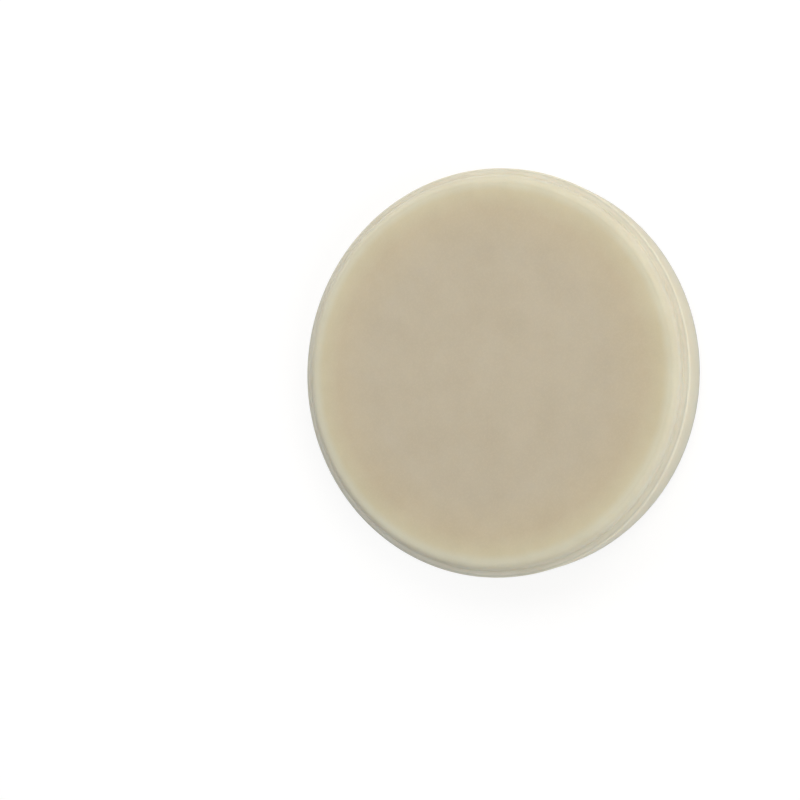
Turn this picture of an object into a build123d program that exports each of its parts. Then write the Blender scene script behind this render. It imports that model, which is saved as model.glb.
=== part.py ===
from build123d import *
import os

# Milling blank for dental restorations, moulded and turned in one piece.
# A round slab has a collar half way up. A milling machine's ring grips the collar, and the
# crowns and bridges are cut out of the slab. Millimetres, Z up. The origin is the centre of
# the back face, which the blank rests on.

# Collar
collar_diameter = 98.5
collar_thickness = 10.0
collar_edge_radius = 0.5  # broken corners, so that the blank slips into its ring
shoulder_width = 1.75  # ledge that the ring's lip holds, which leaves a slab 95 mm across

# Slab between the two faces to be milled
face_rise = 2.0  # how far each face stands above the collar's shoulder
face_edge_radius = 1.9  # soft moulded round that falls from a face almost to the shoulder

# Radii from the axis
collar_radius = collar_diameter / 2
slab_radius = collar_radius - shoulder_width

# Heights along the axis
lower_shoulder = face_rise
upper_shoulder = lower_shoulder + collar_thickness
front_face = upper_shoulder + face_rise

# The round stops just short of using up the wall that it stands on
largest_share = 0.97
face_round = min(face_edge_radius, largest_share * face_rise)

with BuildPart() as milling_disc:
    # Half section on one side of the axis, as the lathe follows it
    with BuildSketch(Plane.XZ) as half_section:
        with BuildLine():
            Polyline(
                (0, 0),
                (slab_radius, 0),
                (slab_radius, lower_shoulder),
                (collar_radius, lower_shoulder),
                (collar_radius, upper_shoulder),
                (slab_radius, upper_shoulder),
                (slab_radius, front_face),
                (0, front_face),
                close=True,
            )
        make_face()
        # The corners stand in three columns: on the axis, on the slab's wall, on the collar's
        corner_columns = half_section.vertices().group_by(Axis.X)
        slab_corners = corner_columns[1].sort_by(Axis.Y)
        fillet([slab_corners[0], slab_corners[-1]], radius=face_round)
        fillet(corner_columns[-1], radius=collar_edge_radius)
    revolve(axis=Axis.Z)

milling_disc.part.label = "milling_disc"

os.makedirs("parts", exist_ok=True)
export_step(milling_disc.part, "parts/milling_disc.step")
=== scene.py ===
import math

import bmesh
import bpy
from mathutils import Matrix, Vector


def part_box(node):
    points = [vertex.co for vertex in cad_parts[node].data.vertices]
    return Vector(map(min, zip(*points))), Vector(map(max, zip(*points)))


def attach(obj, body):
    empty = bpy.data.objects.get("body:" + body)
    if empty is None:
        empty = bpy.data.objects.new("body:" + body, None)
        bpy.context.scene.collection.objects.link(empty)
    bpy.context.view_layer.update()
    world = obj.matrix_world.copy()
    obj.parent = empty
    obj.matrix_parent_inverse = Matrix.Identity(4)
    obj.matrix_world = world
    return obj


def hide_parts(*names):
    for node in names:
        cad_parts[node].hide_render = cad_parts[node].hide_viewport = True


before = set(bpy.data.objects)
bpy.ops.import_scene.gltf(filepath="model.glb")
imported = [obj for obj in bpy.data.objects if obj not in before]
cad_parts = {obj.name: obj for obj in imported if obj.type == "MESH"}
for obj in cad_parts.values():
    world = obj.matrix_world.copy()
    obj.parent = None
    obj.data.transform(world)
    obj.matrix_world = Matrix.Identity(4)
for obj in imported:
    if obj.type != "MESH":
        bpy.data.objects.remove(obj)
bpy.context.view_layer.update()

mm = 0.001


# sRGB hex to the linear colour that shaders work in
def hexToLinear(hexText):
    channels = [int(hexText[i:i + 2], 16) / 255 for i in (1, 3, 5)]
    linear = [c / 12.92 if c <= 0.04045 else ((c + 0.055) / 1.055) ** 2.4 for c in channels]
    return (*linear, 1.0)


# adds one node: plain values are set, sockets are linked, and the rest are the node's own settings
def addNode(tree, kind, values=None, **settings):
    node = tree.nodes.new(kind)
    for name, value in settings.items():
        setattr(node, name, value)
    for socketName, value in (values or {}).items():
        socket = node.inputs[socketName]
        if isinstance(value, bpy.types.NodeSocket):
            tree.links.new(value, socket)
        else:
            socket.default_value = value
    return node


def newMaterial(name):
    material = bpy.data.materials.new(name)
    material.use_nodes = True
    material.node_tree.nodes.clear()
    return material, material.node_tree


# The disc: one section spun round its axis, as on a lathe

disc = {
    "node": "milling_disc",
    "slot": "tooth_shade_resin",
    "shoulderWidth": 1.75 * mm,     # ledge between the slab's wall and the collar's
    "faceRise": 2.0 * mm,           # face above shoulder
    "faceEdgeRadius": 1.9 * mm,     # soft moulded round of each face
    "collarEdgeRadius": 0.5 * mm,   # broken corners of the collar
    "rootRadius": 0.4 * mm,         # hollow that the tool's nose leaves at the foot of the round
    "columnsAround": 512,
    "faceRings": 12,
    "roundSteps": 16,
    "cornerSteps": 8,
    "rootSteps": 8,
    "wallRings": 10,
    "guardWidth": 0.05 * mm,        # narrow ring beside a round, which keeps the flat next to it flat
}


def spread(start, end, steps):
    return [start + (end - start) * i / steps for i in range(steps + 1)]


def arcPoints(centre, radius, startDeg, endDeg, steps):
    angles = [math.radians(a) for a in spread(startDeg, endDeg, steps)]
    return [(centre[0] + radius * math.cos(a), centre[1] + radius * math.sin(a)) for a in angles]


# half of the section, from the middle of the front face out and down to the collar's wall
def frontProfile(collarRadius, frontFace):
    slabRadius = collarRadius - disc["shoulderWidth"]
    shoulder = frontFace - disc["faceRise"]
    edge, corner, root = disc["faceEdgeRadius"], disc["collarEdgeRadius"], disc["rootRadius"]
    guard = disc["guardWidth"]
    points = [(r, frontFace) for r in spread(0, slabRadius - edge - guard, disc["faceRings"])]
    # the round of the face runs into the hollow at its foot where the two arcs touch
    roundCentre = (slabRadius - edge, frontFace - edge)
    rise = shoulder + root - roundCentre[1]
    touchDeg = math.degrees(math.asin(rise / (edge + root)))
    hollowCentre = (roundCentre[0] + (edge + root) * math.cos(math.radians(touchDeg)), shoulder + root)
    points += arcPoints(roundCentre, edge, 90, touchDeg, disc["roundSteps"])
    points += arcPoints(hollowCentre, root, 180 + touchDeg, 270, disc["rootSteps"])[1:]
    points += [(hollowCentre[0] + guard, shoulder), (collarRadius - corner - guard, shoulder)]
    points += arcPoints((collarRadius - corner, shoulder - corner), corner, 90, 0, disc["cornerSteps"])
    points += [(collarRadius, shoulder - corner - guard)]
    return points


def spinProfile(name, profile, columnsAround):
    bm = bmesh.new()
    frontPole = bm.verts.new((0, 0, profile[0][1]))
    backPole = bm.verts.new((0, 0, profile[-1][1]))
    columns = []
    for i in range(columnsAround):
        angle = 2 * math.pi * i / columnsAround
        c, s = math.cos(angle), math.sin(angle)
        columns.append([bm.verts.new((r * c, r * s, z)) for r, z in profile[1:-1]])
    for i, here in enumerate(columns):
        there = columns[(i + 1) % columnsAround]
        bm.faces.new((frontPole, here[0], there[0]))
        bm.faces.new((backPole, there[-1], here[-1]))
        for k in range(len(here) - 1):
            bm.faces.new((here[k], here[k + 1], there[k + 1], there[k]))
    mesh = bpy.data.meshes.new(name)
    bm.to_mesh(mesh)
    bm.free()
    mesh.polygons.foreach_set("use_smooth", [True] * len(mesh.polygons))
    piece = bpy.data.objects.new(name, mesh)
    bpy.context.scene.collection.objects.link(piece)
    return piece


def buildDisc():
    low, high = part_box(disc["node"])
    collarRadius = (high.x - low.x) / 2
    frontHalf = frontProfile(collarRadius, high.z)
    backHalf = [(r, low.z + high.z - z) for r, z in reversed(frontHalf)]
    wall = [(collarRadius, z) for z in spread(frontHalf[-1][1], backHalf[0][1], disc["wallRings"])]
    return spinProfile("turned_disc", frontHalf + wall[1:-1] + backHalf, disc["columnsAround"])


# Tooth-shade acrylic (PMMA), pressed from powder and turned to size. It gives the eye a satin
# skin over a soft glow: light sinks in a few millimetres and comes out again along the edges, and near the
# rim a painted glow and painted shade in the shades add to it.

acrylic = {
    # shade of the skin, with painted glow and painted shade near the rim, and how far from the axis it
    # stands; between two of them one fades into the next
    "shadesAndPaintedLight": (
        (30.0 * mm, "#C2B8A3"),  # main shade, all over the middle of a face
        (39.0 * mm, "#C6BAA0"),  # painted glow: warmer, where light from the rim has gone furthest
        # from here out to the collar the shades carry painted glow and painted shade
        (43.5 * mm, "#CDC5A9"),
        (45.0 * mm, "#D0CDB9"),  # painted glow: pale ring along the edge of a face
        (46.8 * mm, "#C9C5B1"),  # crest of the round, with painted shade against the light it catches
        (47.7 * mm, "#DAD8CB"),  # hollow at its foot, lifted with painted light against its shade
        (48.5 * mm, "#D1CDBE"),  # shoulder, lifted with painted light against the shade of the face's rise
        (48.9 * mm, "#B6B5A5"),  # collar's corner, darkened with painted shade
        (49.2 * mm, "#E1DCC6"),  # collar's wall, paler with painted glow
    ),
    "shadesReach": 50.0 * mm,    # from the axis to the end of the run of shades
    "cloud": "#F0EDE8",          # slightly denser clouds in the pressing, laid over the shades
    "cloudSize": 9.0 * mm,
    "cloudEdges": (0.35, 0.7),   # noise values at which a cloud starts and is full
    "cloudShare": 0.4,
    "pearl": "#DDD1B8",          # paler pearls of powder
    "pearlSize": 0.5 * mm,       # really 0.1 mm, drawn coarser so that they show
    "pearlEdges": (0.1, 0.6),    # where a pearl starts to fade and is gone, as shares of its size
    "pearlShare": 0.12,
    "ior": 1.49,
    "roughness": 0.55,
    "roughnessSwing": 0.05,
    "handledSize": 14.0 * mm,    # patches that handling has left a little smoother or duller
    "handledEdges": (0.3, 0.7),  # noise values of the smoothest and the dullest
    "glowDepth": 7.0 * mm,       # how deep light sinks in
    "glowTint": (1.0, 0.85, 0.7),  # share of that depth for red, green and blue
    "toolPitch": 0.5 * mm,       # really 0.1 mm a turn, drawn coarser so that it shows
    "toolDepth": 0.003 * mm,
    "skinSize": 0.8 * mm,        # faint orange peel of the pressed skin
    "skinDepth": 0.002 * mm,
}


def acrylicMaterial():
    material, tree = newMaterial("Tooth-shade acrylic, pressed and turned")
    place = addNode(tree, "ShaderNodeTexCoord").outputs["Object"]

    # shades from the axis outward, with painted glow and painted shade near the rim (a new ramp has two
    # stops, and can't lose its last one)
    axes = addNode(tree, "ShaderNodeSeparateXYZ", {"Vector": place})
    across = addNode(tree, "ShaderNodeCombineXYZ", {"X": axes.outputs["X"], "Y": axes.outputs["Y"]})
    fromAxis = addNode(tree, "ShaderNodeVectorMath", {0: across.outputs["Vector"]}, operation="LENGTH")
    outward = addNode(tree, "ShaderNodeMath", {
        0: fromAxis.outputs["Value"], 1: acrylic["shadesReach"]}, operation="DIVIDE")
    shadesAndPaintedLight = addNode(tree, "ShaderNodeValToRGB", {"Fac": outward.outputs["Value"]})
    stops = shadesAndPaintedLight.color_ramp.elements
    stops.remove(stops[1])
    for radius, shade in acrylic["shadesAndPaintedLight"]:
        stops.new(radius / acrylic["shadesReach"]).color = hexToLinear(shade)
    stops.remove(stops[0])

    # over them denser clouds, and then paler pearls (Mix takes its colours in 6 and 7, and gives one in 2)
    clouds = addNode(tree, "ShaderNodeTexNoise", {
        "Vector": place, "Scale": 1 / acrylic["cloudSize"], "Detail": 3.0, "Roughness": 0.55})
    cloudMask = addNode(tree, "ShaderNodeMapRange", {
        "Value": clouds.outputs["Fac"],
        "From Min": acrylic["cloudEdges"][0], "From Max": acrylic["cloudEdges"][1],
        "To Min": 0.0, "To Max": acrylic["cloudShare"]})
    clouded = addNode(tree, "ShaderNodeMix", {
        "Factor": cloudMask.outputs["Result"], 6: shadesAndPaintedLight.outputs["Color"],
        7: hexToLinear(acrylic["cloud"])}, data_type="RGBA", blend_type="MULTIPLY")
    pearls = addNode(tree, "ShaderNodeTexVoronoi", {
        "Vector": place, "Scale": 1 / acrylic["pearlSize"]})
    pearlMask = addNode(tree, "ShaderNodeMapRange", {
        "Value": pearls.outputs["Distance"],
        "From Min": acrylic["pearlEdges"][0], "From Max": acrylic["pearlEdges"][1],
        "To Min": acrylic["pearlShare"], "To Max": 0.0})
    pearled = addNode(tree, "ShaderNodeMix", {
        "Factor": pearlMask.outputs["Result"], 6: clouded.outputs[2],
        7: hexToLinear(acrylic["pearl"])}, data_type="RGBA")

    # roughness: satin, with handled patches
    handled = addNode(tree, "ShaderNodeTexNoise", {
        "Vector": place, "Scale": 1 / acrylic["handledSize"], "Detail": 4.0})
    satin = addNode(tree, "ShaderNodeMapRange", {
        "Value": handled.outputs["Fac"],
        "From Min": acrylic["handledEdges"][0], "From Max": acrylic["handledEdges"][1],
        "To Min": acrylic["roughness"] - acrylic["roughnessSwing"],
        "To Max": acrylic["roughness"] + acrylic["roughnessSwing"]})

    # relief: rings of the lathe all over, by distance from the axis plus height, and the pressed skin
    feed = addNode(tree, "ShaderNodeMath", {
        0: fromAxis.outputs["Value"], 1: axes.outputs["Z"]}, operation="ADD")
    turns = addNode(tree, "ShaderNodeMath", {
        0: feed.outputs["Value"], 1: 2 * math.pi / acrylic["toolPitch"]}, operation="MULTIPLY")
    rings = addNode(tree, "ShaderNodeMath", {0: turns.outputs["Value"]}, operation="SINE")
    toolMarks = addNode(tree, "ShaderNodeBump", {
        "Strength": 1.0, "Distance": acrylic["toolDepth"], "Height": rings.outputs["Value"]})
    skin = addNode(tree, "ShaderNodeTexNoise", {
        "Vector": place, "Scale": 1 / acrylic["skinSize"], "Detail": 2.0})
    skinRelief = addNode(tree, "ShaderNodeBump", {
        "Strength": 1.0, "Distance": acrylic["skinDepth"], "Height": skin.outputs["Fac"],
        "Normal": toolMarks.outputs["Normal"]})

    shader = addNode(tree, "ShaderNodeBsdfPrincipled", {
        "Base Color": pearled.outputs[2],
        "Roughness": satin.outputs["Result"],
        "IOR": acrylic["ior"],
        "Subsurface Weight": 1.0,
        "Subsurface Radius": acrylic["glowTint"],
        "Subsurface Scale": acrylic["glowDepth"],
        "Normal": skinRelief.outputs["Normal"]})
    addNode(tree, "ShaderNodeOutputMaterial", {"Surface": shader.outputs["BSDF"]})
    return material


# The room: a plain floor that reads as white, a white sky, and large soft lamps

room = {
    "floorShade": "#888888",  # mid grey, so that little light bounces up onto the rim
    "floorSize": 4.0,
    "nearLift": 0.80,         # added for the camera alone, so that the lit floor reads as white
    "nearReach": 0.2,         # how far from the disc's axis that lift holds
    "farLift": 0.95,          # more of it where less light from the lamps falls
    "farReach": 0.6,
    "skyWhite": "#FFFFFF",
    "skyStrength": 0.30,      # light that the sky sheds
}

# each lamp: degrees round from +X, degrees up, metres off and across, and its power in watts
lamps = {
    "rightSoftbox": {"round": -25, "up": 32, "away": 0.95, "size": 0.8, "power": 5.3, "colour": "#FFFEFB"},
    "backSoftbox": {"round": 68, "up": 32, "away": 0.95, "size": 1.0, "power": 5.9, "colour": "#FFF8EC"},
    "leftSoftbox": {"round": 140, "up": 32, "away": 0.95, "size": 0.8, "power": 3.0, "colour": "#FFFFFF"},
}


# lets camera, reflections and transmission see one strength and everything else another
def seenStrength(tree, seen, shed):
    path = addNode(tree, "ShaderNodeLightPath")
    glossyToo = addNode(tree, "ShaderNodeMath", {
        0: path.outputs["Is Camera Ray"], 1: path.outputs["Is Glossy Ray"]}, operation="MAXIMUM")
    anySeen = addNode(tree, "ShaderNodeMath", {
        0: glossyToo.outputs["Value"], 1: path.outputs["Is Transmission Ray"]}, operation="MAXIMUM")
    return addNode(tree, "ShaderNodeMapRange", {
        "Value": anySeen.outputs["Value"], "To Min": shed, "To Max": seen}).outputs["Result"]


# Matt paper, cut from a roll. It gives the eye an even white with the disc's soft shadow on it.
def paperMaterial():
    material, tree = newMaterial("Matt backdrop paper, cut from a roll")
    paper = addNode(tree, "ShaderNodeBsdfDiffuse", {"Color": hexToLinear(room["floorShade"])})
    place = addNode(tree, "ShaderNodeTexCoord").outputs["Object"]
    fromDisc = addNode(tree, "ShaderNodeVectorMath", {0: place}, operation="LENGTH")
    evenLift = addNode(tree, "ShaderNodeMapRange", {
        "Value": fromDisc.outputs["Value"], "From Min": room["nearReach"], "From Max": room["farReach"],
        "To Min": room["nearLift"], "To Max": room["farLift"]})
    lift = addNode(tree, "ShaderNodeEmission", {
        "Color": hexToLinear(room["skyWhite"]),
        "Strength": seenStrength(tree, evenLift.outputs["Result"], 0.0)})
    both = addNode(tree, "ShaderNodeAddShader", {0: paper.outputs["BSDF"], 1: lift.outputs["Emission"]})
    addNode(tree, "ShaderNodeOutputMaterial", {"Surface": both.outputs["Shader"]})
    return material


def buildFloor():
    bm = bmesh.new()
    bmesh.ops.create_grid(bm, x_segments=2, y_segments=2, size=room["floorSize"] / 2)
    mesh = bpy.data.meshes.new("floor")
    bm.to_mesh(mesh)
    bm.free()
    mesh.materials.append(paperMaterial())
    floor = bpy.data.objects.new("floor", mesh)
    bpy.context.scene.collection.objects.link(floor)
    return floor


def buildSky():
    world = bpy.data.worlds.new("white studio")
    world.use_nodes = True
    world.node_tree.nodes.clear()
    tree = world.node_tree
    sky = addNode(tree, "ShaderNodeBackground", {
        "Color": hexToLinear(room["skyWhite"]),
        "Strength": seenStrength(tree, 1.0, room["skyStrength"])})
    addNode(tree, "ShaderNodeOutputWorld", {"Surface": sky.outputs["Background"]})
    bpy.context.scene.world = world


def buildLamp(name, lamp, target):
    around, up = math.radians(lamp["round"]), math.radians(lamp["up"])
    outward = Vector((math.cos(up) * math.cos(around), math.cos(up) * math.sin(around), math.sin(up)))
    light = bpy.data.lights.new(name, "AREA")
    light.shape = "DISK"
    light.size = lamp["size"]
    light.energy = lamp["power"]
    light.color = hexToLinear(lamp["colour"])[:3]
    holder = bpy.data.objects.new(name, light)
    bpy.context.scene.collection.objects.link(holder)
    holder.location = target + lamp["away"] * outward
    holder.rotation_euler = (-outward).to_track_quat("-Z", "Y").to_euler()


# The camera looks down on the front face from its right, and the image's up is +Y

camera = {
    "swing": 24.75,                 # degrees from the face's normal towards +X
    "tip": -0.5,                    # degrees from there towards +Y
    "distance": 350.0 * mm,         # from the disc's middle, along the line of sight
    "framePx": 800,
    "discMiddlePx": (494.4, 373.3),  # where the disc's middle falls in the frame
    "pxPerMm": 4.102,               # at the disc's middle
    "sensorMm": 36.0,
    "clipStart": 10.0 * mm,         # nearest that it sees
}


def buildCamera(target):
    swing, tip = math.radians(camera["swing"]), math.radians(camera["tip"])
    turn = Matrix.Rotation(swing, 3, "Y") @ Matrix.Rotation(-tip, 3, "X")
    pxPerMetre = camera["pxPerMm"] / mm
    half = camera["framePx"] / 2
    sideways = (half - camera["discMiddlePx"][0]) / pxPerMetre
    upward = (camera["discMiddlePx"][1] - half) / pxPerMetre
    lensPx = pxPerMetre * camera["distance"]
    data = bpy.data.cameras.new("camera")
    data.sensor_width = camera["sensorMm"]
    data.lens = lensPx / camera["framePx"] * camera["sensorMm"]
    data.clip_start = camera["clipStart"]
    holder = bpy.data.objects.new("camera", data)
    bpy.context.scene.collection.objects.link(holder)
    holder.matrix_world = (
        Matrix.Translation(target + turn @ Vector((sideways, upward, camera["distance"])))
        @ turn.to_4x4())
    bpy.context.scene.camera = holder


turnedDisc = buildDisc()
turnedDisc.data.materials.append(acrylicMaterial())
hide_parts(disc["node"])
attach(turnedDisc, "root")
print("disc turned and finished")

low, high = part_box(disc["node"])
discMiddle = (low + high) / 2
floor = buildFloor()
floor.location.z = low.z
buildSky()
for lampName, lamp in lamps.items():
    buildLamp(lampName, lamp, discMiddle)
print("floor, sky and lamps set")

buildCamera(discMiddle)
bpy.context.scene.view_settings.view_transform = "Standard"
print("camera aimed")
